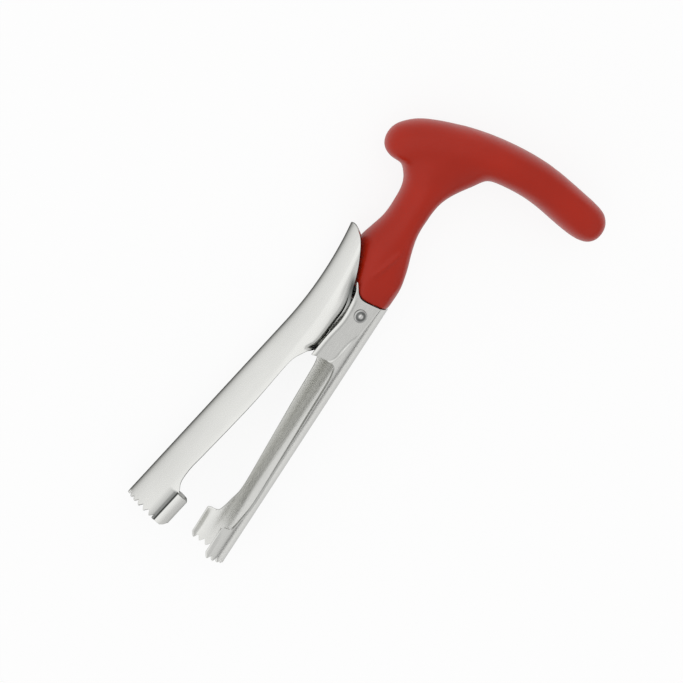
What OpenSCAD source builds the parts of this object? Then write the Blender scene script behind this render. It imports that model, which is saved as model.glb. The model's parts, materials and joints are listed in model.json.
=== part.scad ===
// Hinged apple corer: two serrated half tubes on one rivet, with a red T handle.
// X runs from the opening blade to the fixed blade, Y along the tube to the handle.
// Z is the pivot's direction, so the corer lies on its side with its lowest point at Z 0.
// It is drawn with the blades held open; open_deg is the angle back to closed.

/* [Tube] */
// Outside diameter of the closed tube, mm
tube_d = 25; // [22:0.5:30]
// Thickness of the steel sheet, mm
sheet_t = 1; // [0.7:0.1:1.4]
// Pivot to the tooth tips, mm
blade_len = 101.2; // [80:0.1:120]
// Teeth on the whole circle
teeth_n = 27; // [20:1:36]
// Height of a tooth, mm
tooth_h = 1.8; // [1:0.1:2.6]
// Length of the closed ring above the teeth, mm
land_len = 12.7; // [9:0.1:18]

/* [Hinge] */
// Pivot behind the tube's axis, mm
pivot_back = 2.1; // [1:0.1:3.5]
// Angle from closed to the drawn pose, degrees
open_deg = 10.3; // [5:0.1:14]
// Clearance between the opening blade and the cheeks, mm
side_clear = 0.5; // [0.4:0.05:0.65]
// Radius of the rivet's barrel, mm
rivet_r = 2; // [1.6:0.1:2.4]
// Radius of the domed rivet heads, mm
head_r = 2.5; // [2.3:0.1:3.2]
// Height of the domed rivet heads, mm
head_h = 1.1; // [0.8:0.1:1.5]
// Running clearance on the barrel, mm
run_clear = 0.05; // [0.02:0.01:0.09]

/* [Fixed blade] */
// Cheek inset from the tube's side at the pivot, mm
cheek_inset = 1.75; // [1.2:0.05:2.2]
// Taper of each cheek towards the handle, degrees
cheek_taper = 4.2; // [3:0.1:5]
// Front edge of the cheek at its foot, ahead of the tube's axis, mm
cheek_foot = 5.8; // [4.5:0.1:7]
// Front edge of the cheek near the pivot, ahead of the tube's axis, mm
cheek_waist = 3; // [2.2:0.1:4]
// Pivot down to the top of the side windows, mm
window_top = 19.3; // [16:0.1:24]
// Back strip's edge at the top of the window, behind the tube's axis, mm
strip_edge = 6.2; // [5:0.1:7.5]
// Extra depth of the window near its foot, mm
strip_dip = 1.7; // [0.5:0.1:2.5]
// Front edge of the ring half, behind the tube's axis, mm
ring_edge = 1.5; // [0.8:0.1:2.4]
// Tang inside the handle, length above the seam, mm
tang_len = 12; // [8:0.5:14]

/* [Opening blade] */
// Edge of the ring half, ahead of the tube's axis, mm
lip_edge = 3; // [2.2:0.1:4]
// Overlap of the inner flange past the fixed ring's edge, mm
tuck = 0.6; // [0.3:0.1:1.2]
// Window edge at its upper end, ahead of the tube's axis, mm
slot_edge = 4.7; // [4.2:0.1:5.5]
// Extra depth of that window near its foot, mm
slot_dip = 1.3; // [0.5:0.1:2]
// Radius of the forward sweep of the finger tab, mm
sweep_r = 142; // [120:1:180]
// Pivot down to where the sweep starts, mm
sweep_from = 20; // [17:0.5:24]
// Pivot up to the finger tab's tip, mm
tab_len = 23.5; // [20:0.5:27]
// Joggle between the blade's side and its ears, mm
ear_step = 1.45; // [1.2:0.05:1.8]

/* [Spring] */
// Wire diameter, mm
wire_d = 1; // [0.8:0.1:1.2]
// Whole turns of the coil
coil_n = 4; // [3:1:5]
// Gap between turns, mm
coil_gap = 0.6; // [0.5:0.05:0.8]
// Mean radius of the coil, mm
coil_r = 4.2; // [4:0.1:4.8]

/* [Handle] */
// Height of the waist of the neck above the pivot, mm
waist_y = 34; // [31:0.5:38]
// Half depth of the waist, front to back, mm
waist_a = 6.6; // [6:0.1:8]
// Half width of the waist, mm
waist_b = 8.2; // [7.5:0.1:9]
// Half depth of the neck's swell above the seam, mm
swell_a = 10; // [9:0.1:11]
// Tip of the front nub, ahead of the tube's axis, mm
nub_x = 22.4; // [19:0.1:26]
// Height of the front nub's middle, mm
nub_y = 59; // [56:0.5:62]
// Tip of the rear arm, behind the tube's axis, mm
arm_x = 65; // [56:0.5:75]
// Height of the rear arm's middle, mm
arm_y = 72.4; // [70:0.2:76]
// Drop of the rear arm's tip below its middle, mm
arm_droop = 3.6; // [0:0.1:5]
// Half height of the rear arm, mm
arm_h = 7.3; // [6.5:0.1:8.5]
// Half width of the bar, mm
bar_b = 11.5; // [10:0.1:12]
// Wall of the red grip over its core, mm
grip_wall = 1.6; // [1.2:0.1:2]

/* [Hidden] */
$fn = 96;
steel = [0.84, 0.85, 0.85];
bright = [0.9, 0.9, 0.9];
red = [0.72, 0.13, 0.12];
dark = [0.25, 0.25, 0.27];
eps = 0.01;
tube_r = tube_d / 2;
bore_r = tube_r - sheet_t;
far = 3 * tube_d;
// Half width of the cheeks' outer faces at the pivot, before the taper.
cheek_half = tube_r - cheek_inset;
taper = tan(cheek_taper);
// Half width of the opening blade's sides at the pivot, inside the cheeks.
side_half = cheek_half - sheet_t - side_clear;
// The ears are flat plates, a joggle inside the narrowest part of the sides.
ear_out = side_half - ear_step;
ear_in = ear_out - sheet_t;
// The inner flange of the opening ring slides inside the fixed ring.
flange_r = bore_r - side_clear;
flange_edge = ring_edge + tuck;
tooth_pitch = 360 / teeth_n;
tooth_w = 0.92 * PI * tube_d / teeth_n;
land_y = -blade_len + land_len;
// Height of the seam between steel and handle, at the back, the cheek and the front.
seam_back = 6.5;
seam_low = 5.1;
seam_front = 8.5;
seam_gap = 0.05;
// The shelf under the seam, and the ears that turn below it.
shelf_drop = 0.15;
ear_r = seam_low - sheet_t - 0.8 * side_clear;
tang_in = grip_wall + 0.6;
// Flat seat for the rivet heads, cut into the tapered cheek.
seat_z = cheek_half - head_r * taper - 0.02;
washer_r = 3.8;
washer_z0 = ear_out + run_clear;
washer_z1 = cheek_half - sheet_t - washer_r * taper - run_clear;
bush_r = coil_r - wire_d / 2 - 0.35;
bush_half = ear_in - run_clear;
stud_r = 0.6 * rivet_r;
stud_len = 0.75 * (2 * seat_z);
// Lowest point when the corer lies on its side: the corner of the fixed ring.
rest_z = sqrt(tube_r * tube_r - ring_edge * ring_edge);
// Farthest corner of the open blade, and the middle of the box round the drawn pose.
low_x = pivot_back - (tube_r + pivot_back) * cos(open_deg) - blade_len * sin(open_deg);
mid_x = (arm_x + low_x) / 2;
mid_y = (arm_y + arm_h - blade_len) / 2;

// Smooth curve through a few points, with n steps between neighbours.
function blend(a, b, c, d, t) = 0.5 * (2 * b + (c - a) * t
  + (2 * a - 5 * b + 4 * c - d) * t * t + (3 * b - a - 3 * c + d) * t * t * t);
function curve(p, n) = [for (i = [0:len(p) - 2], j = [0:n - 1])
  blend(p[max(i - 1, 0)], p[i], p[i + 1], p[min(i + 2, len(p) - 1)], j / n), p[len(p) - 1]];
function turned(p, a) = [p.x * cos(a) - p.y * sin(a), p.x * sin(a) + p.y * cos(a)];
function reversed(p) = [for (i = [len(p) - 1:-1:0]) p[i]];

// Puts a piece of the fixed body in the drawn frame.
module place() translate([-mid_x, -mid_y, rest_z]) children();

// Turns the opening blade from its closed place to the drawn pose.
module swing() translate([pivot_back, 0, 0]) rotate(-open_deg) translate([-pivot_back, 0, 0]) children();

// A side outline, run through the whole width.
module through(outline, half = far) linear_extrude(2 * half, center = true) polygon(outline);

// A cylinder along the tube from y0 to y1.
module along(r, y0, y1) translate([0, y0, 0]) rotate([-90, 0, 0]) cylinder(r = r, h = y1 - y0);

// The space between the two tapered cheek planes, moved in by inset.
module between_cheeks(inset, y0, y1) {
  z0 = cheek_half - inset - y0 * taper;
  z1 = cheek_half - inset - y1 * taper;
  rotate([90, 0, 90]) linear_extrude(2 * far, center = true)
    polygon([[y0, -z0], [y1, -z1], [y1, z1], [y0, z0]]);
}

// The fixed blade's outer form, moved in by inset: round at the back, flat at the cheeks.
module trough(inset, y0, y1) intersection() {
  union() {
    along(tube_r - inset, y0, y1);
    translate([-far, y0, inset - tube_r]) cube([far, y1 - y0, 2 * (tube_r - inset)]);
  }
  between_cheeks(inset, y0, y1);
}

// Notches between the teeth, at the foot of either blade.
module tooth_gaps(first, last) for (k = [first:last]) rotate([0, (k + 0.5) * tooth_pitch, 0])
  translate([0, -blade_len, tube_r / 2]) linear_extrude(tube_r)
    polygon([[-tooth_w / 2, -eps], [tooth_w / 2, -eps], [0, tooth_h]]);

// A round hole or bar on the pivot's axis from z0 to z1.
module on_pivot(r, z0, z1) translate([pivot_back, 0, z0]) cylinder(r = r, h = z1 - z0);

// Side curves of the fixed blade. Each is a list of points in X and Y.
seam_end = [-cheek_waist - 3.9, seam_front + 4.7];
seam = curve([[tube_r + 1, seam_back + 0.2], [tube_r * 0.72, seam_back - 0.6],
  [tube_r * 0.27, seam_low + 0.1], [-0.4, seam_low],
  [-cheek_waist + 0.4, seam_low + 1.2], [-cheek_waist - 1.3, seam_front],
  [-cheek_waist - 2.9, seam_front + 2.7], seam_end], 5);
cheek_front = curve([seam_end, [-cheek_waist - 2.3, seam_front + 0.5],
  [-cheek_waist - 0.7, seam_low + 0.4], [-cheek_waist, -3.5],
  [-(cheek_waist + cheek_foot) / 2 - 0.2, -0.62 * window_top], [-cheek_foot, -window_top - 0.7]], 5);
window_edge = curve([[strip_edge - 2.6, -window_top], [strip_edge - 0.7, -window_top - 0.7],
  [strip_edge, -window_top - 2.8], [strip_edge, -window_top - 20],
  [strip_edge + 0.6 * strip_dip, 0.65 * land_y - 2], [strip_edge + strip_dip, land_y + 13],
  [strip_edge + 0.55 * strip_dip, land_y + 7],
  [strip_edge - 0.3, land_y + 1.6], [strip_edge - 1.5, land_y + 0.25], [ring_edge + 1.2, land_y]], 5);

module rear_profile() through(concat([[far, -blade_len]], seam,
  [for (i = [1:len(cheek_front) - 1]) cheek_front[i]], window_edge,
  [[ring_edge, land_y - 0.8], [ring_edge, -blade_len]]));

// The strip just under the seam, where the sheet steps in to the tang.
shelf_line = [for (p = seam) if (p.y < seam_front) p];
module seam_shelf() through(concat([for (p = shelf_line) [p.x, p.y - shelf_drop]],
  reversed([for (p = shelf_line) [p.x, p.y - sheet_t]])));

// The tang's outline above that shelf, short of the neck's front.
module tang_profile() through([[far, seam_back - sheet_t], [far, seam_low + tang_len],
  [0.5, seam_low + tang_len], [-1.2, seam_low + tang_len - 2], [-1.2, seam_low - sheet_t + 0.2],
  [tube_r * 0.27, seam_low - sheet_t + 0.1], [tube_r * 0.72, seam_back - sheet_t - 0.6]]);

module tang_sheet() difference() {
  intersection() {
    trough(tang_in, 0, seam_low + tang_len + 5);
    tang_profile();
  }
  trough(tang_in + sheet_t, -5, seam_low + tang_len + 10);
}

module rear_blade() color(steel) place() {
  difference() {
    intersection() {
      trough(0, -blade_len, seam_end.y + 1);
      rear_profile();
    }
    trough(sheet_t, -blade_len - 1, seam_end.y + 2);
    tooth_gaps(0, teeth_n);
    on_pivot(rivet_r + run_clear / 2, -far, far);
    for (s = [0, 1]) mirror([0, 0, s]) on_pivot(head_r + 0.15, seat_z, far);
  }
  intersection() {
    difference() {
      trough(sheet_t / 2, -5, seam_end.y);
      trough(tang_in + sheet_t / 2, -6, seam_end.y + 1);
    }
    seam_shelf();
    translate([-1.7, -far, -far]) cube(2 * far);
  }
  tang_sheet();
}

// Side curves of the opening blade, in its closed place.
edge_top = tab_len - 3.2;
tab_edge = curve([[-lip_edge, -window_top - 3], [-lip_edge - 0.1, -0.8 * window_top],
  [-lip_edge - 0.9, -7], [-lip_edge - 1.7, 1], [-lip_edge - 4.1, 7.2], [-lip_edge - 8.1, 13.8],
  [-lip_edge - 13.6, edge_top], [-lip_edge - 19, tab_len]], 6);
slot_line = curve([[-lip_edge, land_y], [-lip_edge - 0.9, land_y + 1.4],
  [-slot_edge - 0.5 * slot_dip, land_y + 4], [-slot_edge - slot_dip, land_y + 9.5],
  [-slot_edge - 0.8 * slot_dip, land_y + 17], [-slot_edge, 0.55 * land_y],
  [-slot_edge, -window_top - 8], [-slot_edge + 0.3, -window_top - 4.5], [-lip_edge, -window_top - 3]], 5);

module front_profile() through(concat([[-far, -blade_len], [-lip_edge, -blade_len]], slot_line,
  [for (i = [1:len(tab_edge) - 1]) tab_edge[i]], [[-far, tab_len]]));

// The opening blade's two lengths, moved in by inset: a straight tube, then a forward sweep.
module straight(inset, spare = 0) intersection() {
  along(tube_r - inset, -blade_len - spare, spare - sweep_from);
  between_cheeks(sheet_t + side_clear + inset, -blade_len - 2, far);
}

module swept(inset, spare = 0) intersection() {
  translate([-sweep_r, -sweep_from, 0]) rotate(-spare) rotate_extrude(angle = 26 + 2 * spare, $fn = 180)
    translate([sweep_r, 0]) circle(tube_r - inset);
  between_cheeks(sheet_t + side_clear + inset, -blade_len - 2, far);
}

// Edge strip whose sheet turns in from the blade's side to the ears.
module joggle() difference() {
  intersection() {
    swept(0);
    through(concat([for (p = tab_edge) if (abs(p.y) < edge_top - 0.1) p],
      reversed([for (p = tab_edge) if (abs(p.y) < edge_top - 0.1) [p.x - sheet_t, p.y]])));
  }
  cube([2 * far, 2 * far, 2 * ear_in], center = true);
}

module ear(s) difference() {
  translate([0, 0, s > 0 ? ear_in : -ear_out]) linear_extrude(sheet_t) {
    translate([pivot_back, 0]) circle(ear_r);
    polygon([[-lip_edge - 1, -0.8 * window_top], [-lip_edge + 0.6, -0.84 * window_top],
      [pivot_back + ear_r * cos(-40), ear_r * sin(-40)],
      [pivot_back + ear_r * cos(110), ear_r * sin(110)], [-lip_edge - 2.3, 1]]);
  }
  on_pivot(rivet_r + run_clear, -far, far);
}

// Inner flange of the opening ring, with the step that carries it.
module flange() {
  top = land_y - 0.4;
  foot = -blade_len;
  intersection() {
    difference() {
      along(flange_r, foot, top);
      along(flange_r - sheet_t, foot - 1, top + 1);
    }
    through([[-lip_edge - sheet_t, foot], [flange_edge - 2.2, foot], [flange_edge - 0.7, foot + 1.4],
      [flange_edge, foot + 3.4], [flange_edge, top - 1.2], [flange_edge - 1, top],
      [-lip_edge - sheet_t, top]]);
  }
  intersection() {
    difference() {
      along(tube_r, foot, top);
      along(flange_r - sheet_t, foot - 1, top + 1);
    }
    through([[-lip_edge - sheet_t, foot], [-lip_edge, foot], [-lip_edge, top], [-lip_edge - sheet_t, top]]);
  }
}

module front_blade() color(steel) place() swing() {
  difference() {
    union() {
      intersection() {
        difference() {
          straight(0);
          straight(sheet_t, 1);
        }
        front_profile();
      }
      flange();
    }
    tooth_gaps(0, teeth_n);
  }
  intersection() {
    difference() {
      swept(0);
      swept(sheet_t, 1);
    }
    front_profile();
  }
  joggle();
  for (s = [-1, 1]) ear(s);
}

// Domed head on the pivot's axis, seated on the cheek at seat_z.
module rivet_head() {
  dome_r = (head_r * head_r + head_h * head_h) / (2 * head_h);
  intersection() {
    translate([pivot_back, 0, seat_z + head_h - dome_r]) sphere(dome_r);
    on_pivot(head_r, seat_z, seat_z + head_h);
  }
}

module rivet_socket() color(bright) place() difference() {
  union() {
    rivet_head();
    on_pivot(rivet_r, -seat_z, seat_z + eps);
  }
  on_pivot(stud_r, -far, -seat_z + stud_len);
}

module rivet_stud() color(bright) place() mirror([0, 0, 1]) {
  rivet_head();
  on_pivot(stud_r, seat_z - stud_len + 0.5, seat_z + eps);
}

module pivot_washers() color(dark) place() for (s = [0, 1]) mirror([0, 0, s]) difference() {
  on_pivot(washer_r, washer_z0, washer_z1);
  on_pivot(rivet_r + run_clear, 0, far);
}

module spring_bush() color(dark) place() difference() {
  on_pivot(bush_r, -bush_half, bush_half);
  on_pivot(rivet_r + run_clear, -far, far);
}

// The spring's path: an anchor leg, the coil, and a leg that presses on the finger tab.
coil_turn = 360 * coil_n + 135;
coil_pitch = wire_d + coil_gap;
coil_h = coil_pitch * coil_turn / 360;
coil_steps = ceil(8 * coil_turn / 360);
anchor_top = seam_low + 7;
function coil_at(a) = [pivot_back + coil_r * cos(a), -coil_r * sin(a), coil_h * (a / coil_turn - 0.5)];
leave = coil_at(coil_turn);
leg_dir = [-sin(coil_turn), -cos(coil_turn), 0];
// How far a point on that leg stands inside the finger tab's inner face.
function tab_depth(d) = let (q = leave + d * leg_dir, w = turned([q.x - pivot_back, q.y], open_deg),
  rise = max(w.y + sweep_from, 0))
  w.x + pivot_back + sqrt(bore_r * bore_r - q.z * q.z) + rise * rise / (2 * sweep_r);
leg_seat = wire_d / 2 * 1.4 + side_clear;
leg_len = max([for (d = [0:0.05:2 * tube_d]) if (tab_depth(d) > leg_seat) d]);
anchor_x = pivot_back + coil_r;
path = concat([[anchor_x, anchor_top, -coil_h / 2], [anchor_x, seam_low - 1, -coil_h / 2]],
  [for (i = [0:coil_steps]) coil_at(coil_turn * i / coil_steps)], [leave + leg_len * leg_dir]);
function unit(v) = v / norm(v);
function heading(i) = unit(path[min(i + 1, len(path) - 1)] - path[max(i - 1, 0)]);
function ring(i) = let (h = heading(i), u = unit(cross(h, [0.02, 0.01, 1])), v = cross(h, u))
  [for (k = [0:5]) path[i] + wire_d / 2 * (u * cos(60 * k) + v * sin(60 * k))];

// A tube through rings of equal count, with both ends closed, all in triangles.
module tube_of(rings) {
  n = len(rings[0]);
  m = len(rings);
  sides = [for (i = [0:m - 2], k = [0:n - 1], h = [0, 1]) h == 0
    ? [i * n + k, i * n + (k + 1) % n, (i + 1) * n + k]
    : [i * n + (k + 1) % n, (i + 1) * n + (k + 1) % n, (i + 1) * n + k]];
  foot = [for (i = [0:n / 2 - 1], h = [0, 1]) if (h == 0 ? i < n / 2 - 1 : i > 0)
    h == 0 ? [i + 1, i, n - i - 1] : [i, n - i, n - i - 1]];
  head = [for (f = foot) [f[2] + (m - 1) * n, f[1] + (m - 1) * n, f[0] + (m - 1) * n]];
  polyhedron([for (r = rings, p = r) p], [for (f = concat(sides, foot, head)) [f[2], f[1], f[0]]]);
}

// Least gap of the wire to itself, on points at least half a turn apart.
spans = [for (i = [0:len(path) - 1], j = [0:len(path) - 1]) if (j > i + 4) norm(path[i] - path[j])];
self_gap = min(spans) - wire_d;
echo(self_gap = self_gap);

module return_spring() color(bright) place() tube_of([for (i = [0:len(path) - 1]) ring(i)]);

// Rounded section: n points of a superellipse, e = 2 for an ellipse and more for a squarer form.
function bent(v, e) = sign(v) * pow(abs(v), 2 / e);
function oval(a, b, e, n) = [for (k = [0:n - 1])
  [a * bent(cos(360 * k / n), e), b * bent(sin(360 * k / n), e)]];

// Stations of the neck: height, front, back, half width and squareness.
neck = curve([[3, -2.2, tube_r + 0.6, cheek_half + 0.6, 5],
  [seam_front, -cheek_waist - 1.6, tube_r + 0.2, cheek_half + 0.1, 5],
  [15, -swell_a + 2.8, tube_r - 0.9, cheek_half - 0.9, 3.6],
  [22, -swell_a + 0.4, swell_a + 0.4, cheek_half - 1.6, 2.6],
  [27.5, -swell_a + 1.6, swell_a - 1.5, waist_b + 0.5, 2.4],
  [waist_y, -waist_a, waist_a + 0.2, waist_b, 2.3],
  [waist_y + 7, -waist_a + 0.1, waist_a + 0.1, waist_b, 2.3],
  [waist_y + 14, -waist_a - 1.2, waist_a + 1, waist_b + 0.5, 2.3],
  [nub_y - 4.6, -0.62 * nub_x, waist_a + 4.6, waist_b + 1.3, 2.3],
  [nub_y, -0.72 * nub_x, waist_a + 8, waist_b + 2, 2.3],
  [nub_y + 5, -0.62 * nub_x, waist_a + 11, waist_b + 2.4, 2.3]], 3);
function neck_at(y, c) = lookup(y, [for (q = neck) [q[0], q[c]]]);

// A point of the neck at height y and angle t, kept flush with the steel below the swell.
function neck_point(y, t) = let (f = neck_at(y, 1), g = neck_at(y, 2), b = neck_at(y, 3), e = neck_at(y, 4),
  x = (f + g) / 2 + (g - f) / 2 * bent(cos(t), e), z = b * bent(sin(t), e),
  side = y < flush_top ? min(abs(z), cheek_half - y * taper) : abs(z),
  back = y < flush_top ? min(x, sqrt(tube_r * tube_r - side * side)) : x) [back, y, sign(z) * side];
flush_top = 23;
neck_foot = 15;
foot_steps = 5;
neck_sides = 32;
function neck_ring(y) = [for (k = [0:neck_sides - 1]) neck_point(y, -360 * k / neck_sides)];
// The lowest rings rise with the seam.
function foot_ring(j) = [for (k = [0:neck_sides - 1]) let (t = -360 * k / neck_sides,
  y0 = lookup(neck_point(seam_front, t).x, seam), y1 = lookup(neck_point(y0, t).x, seam) + seam_gap)
  neck_point(y1 + (neck_foot - y1) * j / foot_steps, t)];
module neck_form() tube_of(concat([for (j = [0:foot_steps]) foot_ring(j)],
  [for (q = neck) if (q[0] > neck_foot + 0.5) neck_ring(q[0])]));

// Stations of the bar: place along X, foot, top and half width.
bar = curve([[-nub_x, nub_y - 1, nub_y + 1, 1.2],
  [-nub_x + 0.8, nub_y - 3.9, nub_y + 3.8, 4.6],
  [-nub_x + 3.4, nub_y - 6.3, nub_y + 6.8, 7.6],
  [-nub_x + 9, nub_y - 6.6, nub_y + 11, 9.6],
  [0, nub_y - 2, nub_y + 16, bar_b - 0.5],
  [16, nub_y + 4, arm_y + arm_h - 1.2, bar_b],
  [0.52 * arm_x, arm_y - arm_h - 0.2, arm_y + arm_h, bar_b],
  [0.8 * arm_x, arm_y - arm_h - 0.7 * arm_droop, arm_y + arm_h - 0.6 * arm_droop, bar_b - 0.4],
  [arm_x - 5, arm_y - arm_h + 1 - arm_droop, arm_y + arm_h - 0.5 - 0.9 * arm_droop, bar_b - 2],
  [arm_x - 1.4, arm_y - 4 - arm_droop, arm_y + arm_h - 2.4 - arm_droop, bar_b - 5.4],
  [arm_x, arm_y - arm_droop, arm_y + 2 - arm_droop, 1.4]], 3);
module bar_form() tube_of([for (q = bar) let (h = (q[2] - q[1]) / 2, m = (q[1] + q[2]) / 2)
  [for (p = oval(h, q[3], 2.3, neck_sides)) [q[0], m + p.x, p.y]]]);

// Everything above the seam, which both the blade and the handle follow.
module above_seam(gap) difference() {
  translate([-far, 0, -far]) cube(2 * far);
  through(concat([for (p = seam) [p.x, p.y + gap]],
    [[-far, seam_end.y + gap], [-far, -far], [far, -far], [far, seam_back + gap]]));
}

// The stiff core: a plug in the tang, a stem up the neck and a bar in the arms.
plug_top = seam_low + tang_len + 1;
module core_stem(grow) along(stem_r + grow, seam_front, nub_y + 9);
stem_r = waist_a - grip_wall - 0.4;
core_r = arm_h - grip_wall - 1.2;
core_from = [2, nub_y + 9];
core_to = [0.6 * arm_x, arm_y - 0.25 * arm_droop];
core_tilt = atan2(core_to.y - core_from.y, core_to.x - core_from.x);
module core_bar(grow) translate([core_from.x, core_from.y, 0]) rotate(core_tilt) rotate([0, 90, 0])
  translate([0, 0, -grow]) cylinder(r = core_r + grow, h = norm(core_to - core_from) + 2 * grow);

// The plug fills the trough of the tang; the grip's socket takes both.
module plug(inset, top) intersection() {
  trough(inset, 1, top);
  above_seam(seam_gap);
  translate([-cheek_waist, 0, -far]) cube(2 * far);
}

module handle_core() color(dark) place() difference() {
  union() {
    plug(tang_in + sheet_t + seam_gap, plug_top);
    core_stem(0);
    core_bar(0);
  }
  translate([anchor_x, 0, -coil_h / 2]) rotate([-90, 0, 0])
    cylinder(r = wire_d / 2 + 0.15, h = anchor_top + 0.5);
}

module handle_grip() color(red) place() difference() {
  union() {
    neck_form();
    bar_form();
  }
  plug(tang_in - seam_gap, plug_top + seam_gap);
  core_stem(seam_gap);
  core_bar(seam_gap);
}

rear_blade();
front_blade();
rivet_socket();
rivet_stud();
pivot_washers();
spring_bush();
return_spring();
handle_core();
handle_grip();
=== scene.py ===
"""Hinged apple corer: sheet blades, red grip, spring, finishes, stage and camera."""

import json
import math

import bmesh
import bpy
from mathutils import Matrix, Vector


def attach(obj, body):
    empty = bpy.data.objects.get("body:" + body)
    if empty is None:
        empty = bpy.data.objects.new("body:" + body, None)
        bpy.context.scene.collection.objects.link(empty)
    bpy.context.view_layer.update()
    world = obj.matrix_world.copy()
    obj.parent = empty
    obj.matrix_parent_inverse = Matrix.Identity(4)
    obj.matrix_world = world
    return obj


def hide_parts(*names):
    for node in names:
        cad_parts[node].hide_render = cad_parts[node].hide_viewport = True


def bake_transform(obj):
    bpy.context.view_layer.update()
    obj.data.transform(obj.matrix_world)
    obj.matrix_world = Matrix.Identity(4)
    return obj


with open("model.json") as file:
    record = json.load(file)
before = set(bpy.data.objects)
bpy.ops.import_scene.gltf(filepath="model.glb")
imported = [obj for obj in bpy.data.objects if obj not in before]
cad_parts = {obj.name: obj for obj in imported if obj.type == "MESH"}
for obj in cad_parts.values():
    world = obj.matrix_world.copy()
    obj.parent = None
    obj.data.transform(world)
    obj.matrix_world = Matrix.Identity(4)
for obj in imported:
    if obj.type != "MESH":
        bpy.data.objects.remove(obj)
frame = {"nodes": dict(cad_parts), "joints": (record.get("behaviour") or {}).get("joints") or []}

bl_info = {
    "name": "Hinged apple corer",
    "version": (1, 0, 0),
    "blender": (4, 5, 0),
    "location": "View3D > Sidebar > Corer",
    "description": "Dresses the corer's solids with sheet-metal blades, a soft red grip and studio light",
    "category": "Object",
}

MM = 0.001
TINY = 1e-9
WELD = 0.001 * MM
HALVINGS = 40
FIXED = "handle_and_fixed_blade"
OPENING = "opening_blade"
HINGE = frame["joints"][0]
PIVOT = Vector(HINGE["pos_m"])
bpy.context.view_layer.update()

# Angles above which an edge of a sheet or of a plate is rounded, and the round's segments.
SHEET_SHARP, PLATE_SHARP, EDGE_SEGMENTS = math.radians(78), math.radians(50), 2
# Vertex attribute for how dark the painted shade is, and the colour of the darkest painted shade.
MARKS, MARK_SHADE = "fold", (0.10, 0.11, 0.108, 1)
# Sockets of a mix node: its share, then two inputs and the output for colours and for plain values.
SHARE = 0
COLOUR_A, COLOUR_B, COLOUR_OUT = 6, 7, 2
VALUE_A, VALUE_B, VALUE_OUT = 2, 3, 0


# Small helpers for curves and numbers.
def clamp(value, low=0.0, high=1.0):
    return max(low, min(high, value))


def ease(value):
    t = clamp(value)
    return t * t * (3 - 2 * t)


def rising(value, start, reach):
    """A soft step that begins at start and takes reach."""
    return ease((value - start) / reach)


def mix(a, b, t):
    return a + (b - a) * t


def spaced(start, end, steps):
    """Values from start to end, the same step apart."""
    return [mix(start, end, k / steps) for k in range(steps + 1)]


def parts(steps):
    """Shares of a whole, from the first step to 1."""
    return [k / steps for k in range(1, steps + 1)]


def halve(holds, low, high):
    """The highest value between two limits for which a test still holds."""
    for _ in range(HALVINGS):
        middle = (low + high) / 2
        if holds(middle):
            low = middle
        else:
            high = middle
    return low


def soft_min(a, b, reach):
    """The lower of two values, with the corner between them rounded over reach."""
    h = max(reach - abs(a - b), 0.0) / reach
    return min(a, b) - h * h * reach / 4


def spline(p, q, r, s, t):
    """A value between q and r on a smooth curve that comes from p and goes on to s."""
    bend = 2 * p - 5 * q + 4 * r - s
    twist = 3 * q - p - 3 * r + s
    return 0.5 * (2 * q + (r - p) * t + bend * t * t + twist * t**3)


def through_points(points, steps):
    """A smooth line through a few points, with the same steps between neighbours."""
    line = []
    last = len(points) - 1
    for i in range(last):
        four = points[max(i - 1, 0)], points[i], points[i + 1], points[min(i + 2, last)]
        for j in range(steps):
            line.append(tuple(spline(*values, j / steps) for values in zip(*four)))
    line.append(tuple(points[-1]))
    return line


def read_line(line, at, key=1, value=0):
    """Where a line that rises in one coordinate stands in the other."""
    rows = sorted(line, key=lambda p: p[key])
    if at <= rows[0][key]:
        return rows[0][value]
    for p, q in zip(rows, rows[1:]):
        if at <= q[key]:
            return mix(p[value], q[value], (at - p[key]) / max(q[key] - p[key], TINY))
    return rows[-1][value]


# Sizes and finishes that a user would change.
def a_length(name, description, default):
    return bpy.props.FloatProperty(name=name, description=description, default=default, unit="LENGTH")


def an_angle(name, description, degrees):
    turn = math.radians(degrees)
    return bpy.props.FloatProperty(name=name, description=description, default=turn, unit="ROTATION")


def a_roughness(name, description, default):
    return bpy.props.FloatProperty(
        name=name, description=description, default=default, subtype="FACTOR", min=0, max=1
    )


def a_colour(name, description, default):
    return bpy.props.FloatVectorProperty(
        name=name, description=description, default=default, size=3, subtype="COLOR", min=0, max=1
    )


def a_pixel_count(name, description, default):
    return bpy.props.FloatProperty(
        name=name, description=description, default=default, subtype="PIXEL", min=1
    )


class CorerSizes(bpy.types.PropertyGroup):
    """Main sizes of the corer, which repeat the solids' own"""

    tube: a_length("Tube", "Outside diameter of the closed tube", 25 * MM)
    sheet: a_length("Sheet", "Thickness of the steel", 1 * MM)
    blade: a_length("Blade", "Pivot to the tooth tips", 101.2 * MM)
    ring: a_length("Ring", "Length of the toothed ring", 12.7 * MM)
    tooth: a_length("Tooth", "Height of a tooth", 1.8 * MM)
    teeth: bpy.props.IntProperty(name="Teeth", description="Teeth on the whole circle", default=27, min=12)
    pivot: a_length("Pivot", "Pivot behind the tube's axis", 2.1 * MM)
    opened: an_angle("Opened", "Angle from closed to the rest pose", HINGE["range_deg"][1])
    clearance: a_length("Clearance", "Opening blade to the cheeks", 0.5 * MM)
    cheek: a_length("Cheek", "Half width over the cheeks at the pivot", 10.75 * MM)
    taper: an_angle("Taper", "Taper of each cheek", 4.2)
    bend: a_length("Bend", "Width of the stepped bends", 2.6 * MM)
    edge: a_length("Edge", "Rounding of the cut edges", 0.14 * MM)


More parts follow.
